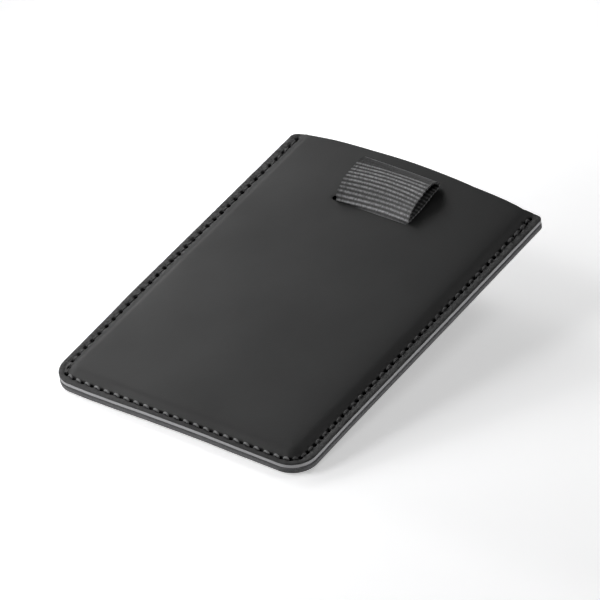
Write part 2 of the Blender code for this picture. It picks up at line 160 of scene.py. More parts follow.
def end_y(x):
    """The outline's top at x, with the mouth's corners rounded."""
    x = np.abs(np.asarray(x, float))
    centre_x = HALF - MOUTH_CORNER
    centre_y = PEAK - MOUTH_RADIUS + math.sqrt((MOUTH_RADIUS - MOUTH_CORNER) ** 2 - centre_x**2)
    rounded = centre_y + np.sqrt(np.clip(MOUTH_CORNER**2 - (x - centre_x) ** 2, 0, None))
    return np.where(x > centre_x, rounded, mouth_y(x))


def seam_line(inset, counts):
    """Points of the line at this inset, from its left end at the mouth down, across and up to its right end."""
    side_steps, corner_steps, bottom_steps = counts
    radius = max(CORNER - inset, INNER_CORNER)
    left, low = -HALF + inset, BOTTOM + inset
    top = float(end_y(left))
    side = np.linspace(top, low + radius, side_steps + 1)
    points = [np.stack([np.full(side_steps + 1, left), side], 1)]
    turn = np.linspace(0, math.pi / 2, corner_steps + 1)[1:]
    corner_x = left + radius - radius * np.cos(turn)
    corner_y = low + radius - radius * np.sin(turn)
    points.append(np.stack([corner_x, corner_y], 1))
    across = np.linspace(left + radius, -left - radius, bottom_steps + 1)[1:]
    points.append(np.stack([across, np.full(bottom_steps, low)], 1))
    points.append(np.stack([-corner_x[::-1][1:], corner_y[::-1][1:]], 1))
    points.append(np.stack([np.full(side_steps + 1, -left), side[::-1]], 1))
    return np.concatenate(points)


def inset_of(x, y):
    """Distance inside the three sewn sides."""
    x, y = np.abs(np.asarray(x, float)), np.asarray(y, float)
    side, low = HALF - x, y - BOTTOM
    inset = np.minimum(side, low)
    centre_x, centre_y = HALF - CORNER, BOTTOM + CORNER
    in_corner = (x > centre_x) & (y < centre_y)
    return np.where(in_corner, CORNER - np.hypot(x - centre_x, y - centre_y), inset)


def slope(inset, run):
    """A rise from 0 to 1 over the run: gentle at the seam, steepest a third of the way on, and then easing off."""
    share = np.clip((inset - PILLOW_START) / run, 0, 1)
    return share**2 * (6 - 8 * share + 3 * share**2)


def pillow(inset, x):
    """Rise of the raised middle. Part of its slope is longer towards the right side."""
    soft = SOFT_SHARE * np.clip((x - SOFT_FROM) / (SOFT_TO - SOFT_FROM), 0, 1)
    rise = (1 - soft) * slope(inset, PILLOW_RUN) + soft * slope(inset, SOFT_RUN)
    left = 1 - np.clip((inset - PILLOW_START) / DOME_RUN, 0, 1)
    return PILLOW_HEIGHT * rise * (1 - DOME_SHARE * left**2)


def cut(points):
    """The outline as it was cut by hand: each side strays a few tenths of a millimetre, and the seam stays.

    In the front left corner the stray runs inwards from the edge, and grows less as it turns to the foot.
    """
    x, y = points[:, 0], points[:, 1]
    side = np.clip((HALF - np.abs(x)) / CUT_REACH, 0, 1)
    across = (1 - side) * np.where(x < 0, np.interp(y, *LEFT_STRAY), np.interp(y, *RIGHT_STRAY))
    upward = np.clip(1 - (y - BOTTOM) / CUT_REACH, 0, 1) * np.interp(x, *FOOT_STRAY)
    round_x, round_y = CORNER - HALF - x, BOTTOM + CORNER - y
    turn = np.arctan2(np.clip(round_y, 0, None), np.clip(round_x, 1e-6, None))
    worn = np.interp(np.degrees(turn), *CORNER_STRAY) * np.clip(1 - inset_of(x, y) / CUT_REACH, 0, 1)
    in_corner = (round_x > 0) & (round_y > 0)
    new_x = x + np.where(in_corner, worn * np.cos(turn), across)
    new_y = y + np.where(in_corner, worn * np.sin(turn), upward)
    new_y -= np.clip(1 - (mouth_y(x) - y) / LIP_REACH, 0, 1) * np.interp(new_x, *LIP_STRAY)
    return np.column_stack([new_x, new_y])


def smooth_noise(x, y, size, seed):
    """Gentle value noise, about -1 to 1, with features of this size. A sine hash gives each cell its value."""
    u, v = np.asarray(x, float) / size, np.asarray(y, float) / size
    cell_u, cell_v = np.floor(u), np.floor(v)
    part_u, part_v = u - cell_u, v - cell_v
    part_u, part_v = (p * p * (3 - 2 * p) for p in (part_u, part_v))

    def value(a, b):
        h = np.sin(a * 127.1 + b * 311.7 + seed * 74.7) * 43758.5453
        return (h - np.floor(h)) * 2 - 1

    low = value(cell_u, cell_v) * (1 - part_u) + value(cell_u + 1, cell_v) * part_u
    high = value(cell_u, cell_v + 1) * (1 - part_u) + value(cell_u + 1, cell_v + 1) * part_u
    return low * (1 - part_v) + high * part_v


def stitch_holes():
    """The needle's holes in order: down the left side, round the bottom and up the right side."""
    order = np.arange(COLUMN_HOLES)
    low = BOTTOM + SEAM
    foot = [(-HALF + SEAM + (FOOT_FIRST + k) * PITCH, low) for k in range(FOOT_HOLES)]
    return (list(zip(np.interp(order, *LEFT_SEAM_X), np.interp(order, *LEFT_SEAM_Y))) + LEFT_CORNER_HOLES + foot
            + RIGHT_CORNER_HOLES + list(zip(np.interp(order, *RIGHT_SEAM_X), np.interp(order, *RIGHT_SEAM_Y))))


HOLES = stitch_holes()
LEFT_TACKS = [(TACK_INSET - HALF, y) for y in LEFT_TACK_Y]
RIGHT_TACKS = [(HALF - TACK_INSET, y) for y in RIGHT_TACK_Y]


# Nets: flat point sets and faces that the layers are lifted from
SLOT_RINGS = (0.12, 0.3, 0.6, 1.1)
SLOT_CLEAR = 1.6
NET_CLOSE = 1e-5


def slot_gap(x, y):
    """Distance outside the slot's outline, which has round ends."""
    return np.hypot(np.maximum(np.abs(x - STRAP_X) - SLOT_REACH, 0), y - SLOT_Y) - SLOT_HALF_WIDTH


def slot_loop(grow, steps):
    """The slot's outline, grown by this much."""
    radius = SLOT_HALF_WIDTH + grow
    points = []
    for side in (1, -1):
        for turn in np.linspace(-math.pi / 2, math.pi / 2, steps + 1):
            points.append((STRAP_X + side * (SLOT_REACH + radius * math.cos(turn)),
                           SLOT_Y + side * radius * math.sin(turn)))
        edge = np.linspace(side * SLOT_REACH, -side * SLOT_REACH, max(4, steps * 5) + 1)[1:-1]
        points += [(STRAP_X + x, SLOT_Y + side * radius) for x in edge]
    return np.array(points)


def in_middle(loop, point):
    """Whether a point lies in the net's middle, tested against its sides and the mouth's arc."""
    x, y = point
    left, right = loop[:, 0].min(), loop[:, 0].max()
    return left - 1e-6 < x < right + 1e-6 and loop[:, 1].min() - 1e-6 < y < float(mouth_y(x)) + 1e-4


def net(levels, counts, slot_steps, grid, mouth_rows):
    """A flat net: rings along the seam and a freer middle. Returns points, faces, the outer loop and the slot's."""
    rings = [seam_line(level, counts) for level in levels]
    wide = len(rings[0])
    faces = [(a, a + 1, a + wide + 1, a + wide) for row in range(len(rings) - 1)
             for a in range(row * wide, (row + 1) * wide - 1)]
    left, right = rings[-1][0][0], rings[-1][-1][0]
    mouth_x = np.linspace(right, left, max(8, int((right - left) / grid)) + 1)[1:-1]
    mouth = np.stack([mouth_x, mouth_y(mouth_x)], 1)
    boundary = np.concatenate([rings[-1], mouth])
    count, base = len(boundary), len(rings) * wide + len(mouth)
    inside = [(x, float(mouth_y(x)) - depth) for depth in mouth_rows for x in mouth_x]
    xs = np.arange(left + grid, right - grid / 2, grid)
    ys = np.arange(BOTTOM + levels[-1] + grid, PEAK - 1.2 * grid, grid)
    free = [(x, y) for x in xs for y in ys if y < float(mouth_y(x)) - max(mouth_rows) - grid / 2]
    loop = np.zeros((0, 2))
    if slot_steps:
        loop = slot_loop(0.0, slot_steps)
        inside += [tuple(p) for grow in SLOT_RINGS for p in slot_loop(grow, slot_steps)]
        free = [p for p in free if slot_gap(*p) >= SLOT_CLEAR]
    flat = [Vector(p) for p in np.concatenate([boundary, loop, np.array(inside + free)])]
    edges = [(i, (i + 1) % count) for i in range(count)]
    edges += [(count + i, count + (i + 1) % len(loop)) for i in range(len(loop))]
    corners, _, found, origins = delaunay_2d_cdt(flat, edges, [], 0, NET_CLOSE)[:4]
    ids, extra, slot_ids = {}, [], []
    for index, sources in enumerate(origins):
        known = [source for source in sources if source < count]
        if known:
            ids[index] = base - count + known[0]
            continue
        ids[index] = base + len(extra)
        extra.append(tuple(corners[index]))
        if sources and min(sources) < count + len(loop):
            slot_ids.append((min(sources), ids[index]))
    for face in found:
        middle = sum((corners[i] for i in face), Vector((0, 0))) / len(face)
        if in_middle(boundary, middle) and not (slot_steps and slot_gap(*middle) < 0):
            faces.append(tuple(ids[i] for i in face))
    starts = [row * wide for row in range(len(rings))]
    mouth_ids = list(range(base - len(mouth), base))
    outer = list(range(wide)) + [start + wide - 1 for start in starts[1:]] + mouth_ids + starts[:0:-1]
    points = np.concatenate([*rings, mouth, np.array(extra).reshape(-1, 2)])
    return points, faces, outer, [i for _, i in sorted(slot_ids)]


def make_object(name, points, faces, finish):
    """A smooth mesh object from points in millimetres."""
    mesh = bpy.data.meshes.new(name)
    mesh.from_pydata((np.asarray(points, float) * MM).tolist(), [], [tuple(int(i) for i in f) for f in faces])
    mesh.validate()
    mesh.materials.append(finish)
    mesh.polygons.foreach_set("use_smooth", [True] * len(mesh.polygons))
    piece = bpy.data.objects.new(name, mesh)
    bpy.context.scene.collection.objects.link(piece)
    return piece


def tag(piece, name, values):
    """A value at each point of the mesh, for its material."""
    layer = piece.data.attributes.new(name, "FLOAT", "POINT")
    layer.data.foreach_set("value", np.asarray(values, np.float32))


def places(piece):
    """The mesh's points in millimetres."""
    flat = np.empty(len(piece.data.vertices) * 3)
    piece.data.vertices.foreach_get("co", flat)
    return flat.reshape(-1, 3) / MM


def gone_along(route):
    """How far along a route of points each one lies."""
    return np.concatenate([[0], np.cumsum(np.linalg.norm(np.diff(route, axis=0), axis=1))])


def outward(ring):
    """Unit directions pointing out of a flat closed loop."""
    along = np.roll(ring, -1, 0) - np.roll(ring, 1, 0)
    along /= np.maximum(np.linalg.norm(along, axis=1, keepdims=True), 1e-9)
    x, y = ring[:, 0], ring[:, 1]
    area = np.sum(x * np.roll(y, -1) - np.roll(x, -1) * y)
    return np.stack([along[:, 1], -along[:, 0]], 1) * (1 if area > 0 else -1)


def strip(upper, lower):
    """Faces between two closed rows of points."""
    count = len(upper)
    return [(upper[i], lower[i], lower[(i + 1) % count], upper[(i + 1) % count]) for i in range(count)]


RAG_SIZE = 0.3
RAG_ROWS = 3.0
CRISP = math.radians(50)


def lift(name, flat, top, bottom, finish, profile, closed=True, rough=0.0, seed=1, edge_finish=None):
    """A layer over a net: its top, its edge walls with a profile, and its underside if closed.

    profile lists (share of the way down, millimetres outward) for the walls' rows. The slot's walls get the hole's
    painted shade.
    """
    points, faces, outer, slot = flat
    high, low = (height(points[:, 0], points[:, 1]) for height in (top, bottom))
    total = len(points)
    solid, made = [np.column_stack([points, high])], list(faces)
    if closed:
        solid.append(np.column_stack([points, low]))
        made += [tuple(i + total for i in f[::-1]) for f in faces]
    finishes = [0] * len(made)
    start = total * len(solid)
    for loop, wall in ((outer, 1), (slot, 2)):
        if not loop:
            continue
        ring = points[loop]
        out = outward(ring) if loop is outer else -outward(ring)
        gone = gone_along(ring)
        previous = loop
        for share, shift in profile:
            ragged = rough * smooth_noise(gone, np.full(len(loop), share * RAG_ROWS), RAG_SIZE, seed)
            solid.append(np.column_stack([ring + out * (shift + ragged)[:, None],
                                          high[loop] + (low[loop] - high[loop]) * share]))
            row = list(range(start, start + len(loop)))
            start += len(loop)
            made += strip(previous, row)
            previous = row
        if closed:
            made += strip(previous, [i + total for i in loop])
        finishes += [wall] * (len(made) - len(finishes))
    solid = np.concatenate(solid)
    solid[:, :2] = cut(solid[:, :2])
    piece = make_object(name, solid, made, finish)
    piece.data.materials.append(edge_finish or finish)
    # The third finish is the painted hole shade, used for the slot's walls.
    piece.data.materials.append(PAINTED_HOLE_SHADE)
    piece.data.polygons.foreach_set("material_index", finishes)
    tidy_normals(piece)
    return piece


def tidy_normals(piece):
    """Normals outward, and edges sharper than the crisp angle left unsmoothed."""
    shape = bmesh.new()
    shape.from_mesh(piece.data)
    bmesh.ops.recalc_face_normals(shape, faces=shape.faces)
    for edge in shape.edges:
        if len(edge.link_faces) == 2 and edge.calc_face_angle(0) > CRISP:
            edge.smooth = False
    shape.to_mesh(piece.data)
    shape.free()


# Materials
COOL = 1.01


def new_material(name):
    """A node material, with its tree and its shader."""
    made = bpy.data.materials.new(name)
    made.use_nodes = True
    return made, made.node_tree, made.node_tree.nodes["Principled BSDF"]


def dress(tree, made, sockets):
    """Sets a node's sockets to values, or links them to other nodes' sockets."""
    for key, value in sockets.items():
        if isinstance(value, bpy.types.NodeSocket):
            tree.links.new(value, made.inputs[key])
        else:
            made.inputs[key].default_value = value


def node(tree, kind, sockets=None, **settings):
    """A new node with these settings and sockets."""
    made = tree.nodes.new(kind)
    for key, value in settings.items():
        setattr(made, key, value)
    dress(tree, made, sockets or {})
    return made


def coords(tree, scale=(1, 1, 1)):
    """Object coordinates, scaled on each axis."""
    source = node(tree, "ShaderNodeTexCoord")
    return node(tree, "ShaderNodeMapping", {"Vector": source.outputs["Object"], "Scale": scale}).outputs["Vector"]


def noise(tree, vector, scale, detail=2.0, rough=0.5):
    """Fractal noise, features per metre given by its scale."""
    return node(tree, "ShaderNodeTexNoise", {"Vector": vector, "Scale": scale, "Detail": detail,
                                             "Roughness": rough}).outputs["Fac"]


def ramp(tree, value, stops):
    """Slightly cool greys by a value, from (place, shade) stops."""
    made = node(tree, "ShaderNodeValToRGB", {"Fac": value})
    for element, (place, shade) in zip(made.color_ramp.elements, stops):
        element.position = place
        element.color = (shade, shade, shade * COOL, 1)
    return made.outputs["Color"]


def math_node(tree, operation, a, b):
    """One operation on two values."""
    return node(tree, "ShaderNodeMath", {0: a, 1: b}, operation=operation).outputs["Value"]


def weigh(tree, a, b, share):
    """Two values added, the first by its share and the second by the rest."""
    return math_node(tree, "ADD", math_node(tree, "MULTIPLY", a, share), math_node(tree, "MULTIPLY", b, 1 - share))


def mix_colours(tree, kind, factor, a, b):
    """Two colours mixed in a Mix node's way."""
    return node(tree, "ShaderNodeMix", {"Factor": factor, "A": a, "B": b}, data_type="RGBA",
                blend_type=kind).outputs["Result"]


def bump(tree, height, depth, under=None):
    """A bumped normal, its depth in millimetres, over another if given."""
    sockets = {"Strength": 1.0, "Distance": depth * MM, "Height": height}
    if under is not None:
        sockets["Normal"] = under
    return node(tree, "ShaderNodeBump", sockets).outputs["Normal"]


def attribute(tree, name):
    """A value tagged on the mesh's points."""
    return node(tree, "ShaderNodeAttribute", attribute_name=name).outputs["Fac"]


def skin_material():
    """Soft-touch coated skin: nearly black, matt, with a fine grain that shows most on the pressed border."""
    made, tree, shader = new_material("coated_skin")
    vector = coords(tree)
    border = attribute(tree, "border")
    plain = ramp(tree, noise(tree, vector, 60, 3), ((0.3, 0.0038), (0.7, 0.0052)))
    speckled = ramp(tree, noise(tree, vector, 1250, 3, 0.7), ((0.40, 0.0004), (0.60, 0.0520)))
    speckle_share = math_node(tree, "SUBTRACT", border, LEAST_BORDER)
    grain = noise(tree, vector, 2600, 3, 0.6)
    pebble = node(tree, "ShaderNodeTexVoronoi", {"Vector": vector, "Scale": 3600}).outputs["Distance"]
    wrinkles = math_node(tree, "MULTIPLY", noise(tree, vector, 1900, 3, 0.6), 2.2)
    creases = math_node(tree, "MULTIPLY", math_node(tree, "ADD", pebble, wrinkles), border)
    height = math_node(tree, "ADD", math_node(tree, "MULTIPLY", grain, 0.35), creases)
    dress(tree, shader, {"Base Color": mix_colours(tree, "MIX", speckle_share, plain, speckled),
                         "Normal": bump(tree, noise(tree, vector, 130, 2), 0.06, bump(tree, height, 0.06)),
                         "Roughness": ramp(tree, noise(tree, vector, 45, 2), ((0.3, 0.56), (0.7, 0.64))),
                         "IOR": 1.5})
    return made


def hole_shade_material():
    """Painted shade for the inside of the needle holes, the slot's walls and the thread down in the holes: near-black
    fibres without a gloss.
    """
    made, tree, shader = new_material("hole_painted_shade")
    fibres = noise(tree, coords(tree), 5000, 2)
    dress(tree, shader, {"Base Color": ramp(tree, fibres, ((0.3, 0.0006), (0.7, 0.0014))), "Roughness": 1.0,
                         "Specular IOR Level": 0.0})
    return made


def board_material(name, dark, light, streak):
    """Pressed fibre board, seen at its cut edge: layered streaks, specks and a dry fuzz."""
    made, tree, shader = new_material(name)
    fibres = noise(tree, coords(tree, (1, 1, 5)), 1500, 5, 0.65)
    specks = noise(tree, coords(tree, (1, 1, 2)), 4200, 2, 0.5)
    mixed = weigh(tree, fibres, specks, streak)
    colour = ramp(tree, mixed, ((0.32, dark), (0.68, light)))
    handled = ramp(tree, attribute(tree, "handled"), ((0.0, 1.0), (1.0, 0.45)))
    dress(tree, shader, {"Base Color": mix_colours(tree, "MULTIPLY", 1.0, colour, handled),
                         "Normal": bump(tree, mixed, 0.06), "Roughness": 0.9, "Specular IOR Level": 0.25})
    return made


def lining_material():
    """Plain woven lining: crossing yarns 0.3 mm apart."""
    made, tree, shader = new_material("woven_lining")
    yarns = {"Vector": coords(tree), "Scale": 1050, "Distortion": 0.6}
    weave = math_node(tree, "MAXIMUM", *(node(tree, "ShaderNodeTexWave", yarns, bands_direction=axis).outputs["Fac"]
                                         for axis in "XY"))
    dress(tree, shader, {"Base Color": ramp(tree, weave, ((0.2, 0.010), (0.9, 0.024))),
                         "Normal": bump(tree, weave, 0.05), "Roughness": 0.8})
    return made


def thread_material():
    """Bonded polyester thread: plies with a waxy sheen and fine filaments, paler where a painted highlight is tagged
    on it.
    """
    made, tree, shader = new_material("black_thread")
    filament = noise(tree, coords(tree), 9000, 3, 0.6)
    plain_thread = ramp(tree, filament, ((0.3, 0.005), (0.7, 0.013)))
    painted_light = ramp(tree, filament, ((0.3, 0.13), (0.7, 0.23)))
    dress(tree, shader, {"Base Color": mix_colours(tree, "MIX", attribute(tree, "painted_light"), plain_thread, painted_light),
                         "Normal": bump(tree, filament, 0.03), "Roughness": 0.5, "Sheen Weight": 0.1,
                         "Sheen Roughness": 0.4})
    return made


def ribbon_material():
    """Grosgrain with fine warp ends across the ribs. Its tagged tone paints light and shade: pale crests as a painted
    highlight, dark valleys between them as painted shade.
    """
    made, tree, shader = new_material("ribbed_ribbon")
    beads = noise(tree, coords(tree, (1, 0.5, 0.5)), 3100, 3, 0.65)
    fuzz = noise(tree, coords(tree), 8000, 3, 0.6)
    mixed = weigh(tree, beads, fuzz, 0.8)
    colour = ramp(tree, mixed, ((0.40, 0.135), (0.60, 0.410)))
    # Painted highlight on the crests and painted shade in the valleys, from the tone tagged on the mesh.
    rib_crest_and_shade = ramp(tree, attribute(tree, "rib_crest_and_shade"), ((0.0, 0.075), (1.0, 1.0)))
    dress(tree, shader, {"Base Color": mix_colours(tree, "MULTIPLY", 1.0, colour, rib_crest_and_shade),
                         "Normal": bump(tree, mixed, 0.06), "Roughness": 0.6, "Sheen Weight": 0.1,
                         "Sheen Roughness": 0.45})
    return made


def foil_material():
    """Metal foil, lightly crinkled."""
    made, tree, shader = new_material("foil")
    crinkle = noise(tree, coords(tree), 400, 4, 0.6)
    dress(tree, shader, {"Base Color": ramp(tree, crinkle, ((0.3, 0.50), (0.7, 0.62))),
                         "Normal": bump(tree, crinkle, 0.05), "Metallic": 1.0, "Roughness": 0.35})
    return made


SKIN = skin_material()
PAINTED_HOLE_SHADE = hole_shade_material()
PALE_BOARD = board_material("pale_board", 0.33, 0.46, 0.55)
DARK_BOARD = board_material("dark_board", 0.07, 0.20, 0.5)
LINING = lining_material()
THREAD = thread_material()
RIBBON = ribbon_material()
FOIL = foil_material()


# The covers' unevenness in millimetres, mostly pairs of (height, width or feature size)
SKIN_ROLL = (0.10, 0.45)
SLOT_DIP = (0.10, 0.25)
GROOVE = (0.10, 0.85)
SHARP_WIDTH = 0.35
SHARP_BY_Y = ((-46, -40, 33, 37), (0.05, 0.01, 0.01, 0.09))
GROOVE_END = 1.2
SWELL = (0.02, 17.0)
SWELL_FROM, SWELL_RUN = 6, 6
RIPPLE = (0.012, 2.6)
RIPPLE_INSET, RIPPLE_REACH = 1.6, 2.2
CRUMPLE_LEFT, CRUMPLE_RIGHT = 0.030, 0.016
CRUMPLE_SIZES = (0.85, 0.5)
BACK_ROLL = (0.06, 0.3)
BACK_GROOVE = (0.30, 0.42)
BACK_HOLE_SHARE = 0.6
BACK_DEEPEST = 0.62


def hole_depth(x, y):
    """How deep the needle's holes are at each place, and how much of that is open hole."""
    depth = np.zeros(len(x))
    mark = np.zeros(len(x))
    for holes, (half_long, half_wide) in ((HOLES, HOLE_HALF), (LEFT_TACKS, TACK_HALF), (RIGHT_TACKS, TACK_HALF)):
        for index, (hole_x, hole_y) in enumerate(holes):
            near = (np.abs(x - hole_x) < HOLE_NEAR) & (np.abs(y - hole_y) < HOLE_NEAR)
            before, after = holes[max(index - 1, 0)], holes[min(index + 1, len(holes) - 1)]
            turn = math.atan2(after[1] - before[1], after[0] - before[0]) + HOLE_SLANT
            off_x, off_y = x[near] - hole_x, y[near] - hole_y
            along = off_x * math.cos(turn) + off_y * math.sin(turn)
            across = off_y * math.cos(turn) - off_x * math.sin(turn)
            away = np.hypot(along / half_long, across / half_wide)
            shape = 1 - np.clip((away - HOLE_RIM) / HOLE_RIM, 0, 1)
            shape = shape * shape * (3 - 2 * shape)
            dish = np.exp(-((away / DISH_WIDTH) ** 2))
            depth[near] = np.maximum(depth[near], HOLE_DEPTH * shape + DISH_DEPTH * dish)
            mark[near] = np.maximum(mark[near], shape)
    return depth, mark


def seam_groove(x, y):
    """The dished line that the thread's pull presses along the seam, sharper at both ends of the left side."""
    off = np.abs(inset_of(x, y) - SEAM)
    below = 1 - np.clip(GROOVE_END - (end_y(x) - y), 0, 1)
    sharp = np.interp(np.where(x < 0, y, 0.0), *SHARP_BY_Y)
    return (GROOVE[0] * np.exp(-((off / GROOVE[1]) ** 2)) + sharp * np.exp(-((off / SHARP_WIDTH) ** 2))) * below


def edge_round(x, y, drop, reach):
    """How far a cut edge is rolled down near the outline."""
    gap = np.minimum(inset_of(x, y), end_y(x) - y)
    near = 1 - np.clip(gap / reach, 0, 1)
    return drop * near * near


def front_skin_top(x, y):
    """The front's outer face: rolled edges, a dip at the slot, the seam, soft waves and a crumpled border."""
    inset = inset_of(x, y)
    z = FRONT_SKIN[1] + pillow(inset, x)
    z = z - edge_round(x, y, *SKIN_ROLL)
    z = z - SLOT_DIP[0] * np.exp(-np.clip(slot_gap(x, y), 0, None) / SLOT_DIP[1])
    z = z - seam_groove(x, y) - hole_depth(x, y)[0]
    swell = SWELL[0] * np.clip((inset - SWELL_FROM) / SWELL_RUN, 0, 1)
    z = z + swell * smooth_noise(x, y, SWELL[1], 3)
    ripple = RIPPLE[0] * smooth_noise(x, y, RIPPLE[1], 5)
    z = z + ripple * np.clip(1 - np.abs(inset - RIPPLE_INSET) / RIPPLE_REACH, 0, 1)
    crumple = np.where(x < 0, CRUMPLE_LEFT, CRUMPLE_RIGHT) * np.clip((y - BOTTOM - 4) / 3, 0.15, 1)
    crumple = crumple * np.clip((BORDER - inset) / BORDER_FADE, 0, 1)
    broad, fine = (smooth_noise(x, y, size, seed) for size, seed in zip(CRUMPLE_SIZES, (21, 22)))
    return z + crumple * (broad + 0.6 * fine)


def back_skin_low(x, y):
    """The back's outer face, at z = 0 apart from its seam line and holes."""
    groove = BACK_GROOVE[0] * np.exp(-((np.abs(inset_of(x, y) - SEAM) / BACK_GROOVE[1]) ** 4))
    holes = hole_depth(x, y)[0] * BACK_HOLE_SHARE
    return np.minimum(BACK_DEEPEST, groove + holes + edge_round(x, y, *BACK_ROLL))


def under_pillow(height, trench=0.0):
    """A face below the pillow, pressed down by the trench along the seam to make room for the holes."""
    def face(x, y):
        inset = inset_of(x, y)
        return height + pillow(inset, x) - trench * ((inset > TRENCH[0]) & (inset < TRENCH[1]))
    return face


def level(height):
    """A flat face."""
    return lambda x, y: np.full(len(x), height)


FINE_LEVELS = (0, 0.03, 0.08, 0.15, 0.25, 0.4, 0.6, 0.85, 1.1, 1.3, 1.45, 1.55, 1.65, 1.75, 1.85, 1.95, 2.05, 2.15,
               2.25, 2.35, 2.45, 2.55, 2.7, 2.85, 3.05, 3.3, 3.65, 4.05, 4.5, 5.0, 5.6, 6.2, 6.8, 7.4)
COARSE_LEVELS = (0, 0.06, 0.2, 0.6, 1.3, 2.0, 2.4, 2.9, 3.5, 4.2, 5.0, 6.0, 6.8)
MOUTH_ROWS = (0.06, 0.16, 0.3, 0.5, 0.9, 1.6)
fine_net = net(FINE_LEVELS, (610, 54, 400), 10, 1.4, MOUTH_ROWS)
front_net = net(COARSE_LEVELS, (90, 30, 60), 8, 3.0, (0.1, 0.6))
back_fine_net = net(FINE_LEVELS[:24], (610, 54, 400), 0, 3.0, (0.1, 0.4))
back_net = net(COARSE_LEVELS[:6], (90, 30, 60), 0, 5.0, (0.1, 0.6))

FRONT_WALL = ((0.2, 0.0), (0.6, 0.01), (1.0, -0.01))
BACK_WALL = ((0.25, 0.01), (0.6, 0.01), (1.0, -0.01))
BOARD_WALL = ((0.0, -0.03), (0.10, 0.0), (0.3, 0.012), (0.5, 0.0), (0.7, 0.01), (0.9, 0.0), (1.0, -0.03))
THIN_WALL = ((0.2, 0.0), (0.5, 0.02), (0.8, 0.0))
front_skin = lift("front_skin", fine_net, front_skin_top, under_pillow(FRONT_SKIN[0]), SKIN, FRONT_WALL,
                  closed=False, rough=0.006, seed=2)
back_skin = lift("back_skin", back_fine_net, back_skin_low, level(BACK_SKIN[1]), SKIN, BACK_WALL, closed=False,
                 rough=0.006, seed=9)
front_board = lift("front_board_edge", front_net, under_pillow(FRONT_BOARD[1] - 0.01, 0.8),
                   under_pillow(FRONT_BOARD[0]), PALE_BOARD, BOARD_WALL, rough=0.02, seed=4)
back_board = lift("back_board_edge", back_net, level(BACK_BOARD[1]), level(BACK_BOARD[0]), DARK_BOARD, BOARD_WALL,
                  rough=0.035, seed=6)
front_lining = lift("front_lining_cloth", front_net, under_pillow(FRONT_LINING[1]), under_pillow(FRONT_LINING[0]),
                    LINING, THIN_WALL, rough=0.03, seed=8, edge_finish=DARK_BOARD)
back_lining = lift("back_lining_cloth", back_net, level(BACK_LINING[1]), level(BACK_LINING[0]), LINING, THIN_WALL,
                   rough=0.03, seed=10, edge_finish=DARK_BOARD)

for piece in (front_skin, back_skin):
    x, y, _ = places(piece).T
    mottled = np.where(x < 0, 1.0, 0.6) * np.interp(y - BOTTOM, (3.0, 5.0), (0.35, 1.0))
    tag(piece, "border", np.clip((BORDER - inset_of(x, y)) / BORDER_FADE * mottled, LEAST_BORDER, mottled))
    # Faces deep in a needle hole get the painted hole shade.
    is_open = hole_depth(x, y)[1] > OPEN_HOLE
    for face in piece.data.polygons:
        if all(is_open[i] for i in face.vertices):
            face.material_index = 2
for piece, most in ((front_board, 0.45), (back_board, 1.0)):
    x, y, _ = places(piece).T
    away = np.hypot(x - HANDLED[0], y - HANDLED[1])
    tag(piece, "handled", most * np.exp(-((away / HANDLED_REACH) ** 2)))
for piece, replaced, slot in ((front_skin, "front_cover", "coated_skin"), (back_skin, "back_cover", "coated_skin"),
                              (front_board, "front_board", "pale_board"), (back_board, "back_board", "dark_board"),
                              (front_lining, "front_lining", "woven_lining"),
                              (back_lining, "back_lining", "woven_lining")):
    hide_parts(replaced)
    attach(piece, "holder")


# The threads
LOBE_DEPTH = 0.14
LEFT_COLUMN = 4 - HALF
COLUMN_FOOT = BOTTOM + SEAM + 0.3
SUNK = -0.35
STITCH_SHAPE = ((0.0, -1.0), (0.20, -0.95), (0.26, -0.45), (0.30, 0.15), (0.36, 0.60), (0.44, 0.90), (0.52, 1.0),
                (0.59, 0.80), (0.65, 0.30), (0.70, -0.30), (0.76, -0.85), (0.82, -0.97), (1.0, -1.0))


def tube(name, routes, finish, radius=0.2, lobes=3, twist=1.5, around=14):
    """Twisted thread along each route of points."""
    solid, faces = [], []
    start = 0
    turn = np.linspace(0, 2 * math.pi, around, endpoint=False)
    for route in routes:
        route = np.asarray(route, float)
        along = np.gradient(route, axis=0)
        along /= np.linalg.norm(along, axis=1, keepdims=True)
        side = np.cross(along, np.array([0.0, 0.0, 1.0]))
        length = np.linalg.norm(side, axis=1, keepdims=True)
        side = side / np.maximum(length, 1e-6)
        for i in range(1, len(side)):
            if length[i, 0] < 0.2 or side[i] @ side[i - 1] < 0.3:
                side[i] = side[i - 1]
        rise = np.cross(side, along)
        for i, (centre, gone) in enumerate(zip(route, gone_along(route))):
            ply = np.abs(np.cos(lobes / 2 * (turn - 2 * math.pi * gone / twist)))
            lobe = radius * (1 - LOBE_DEPTH + LOBE_DEPTH * ply)
            solid.append(centre + np.outer(np.cos(turn) * lobe, side[i]) + np.outer(np.sin(turn) * lobe, rise[i]))
        last = start + (len(route) - 1) * around
        for a in range(start, last, around):
            b = a + around
            faces += [(a + k, a + (k + 1) % around, b + (k + 1) % around, b + k) for k in range(around)]
        faces.append(tuple(start + k for k in range(around))[::-1])
        faces.append(tuple(last + k for k in range(around)))
        start = last + around
    return make_object(name, np.concatenate(solid), faces, finish)


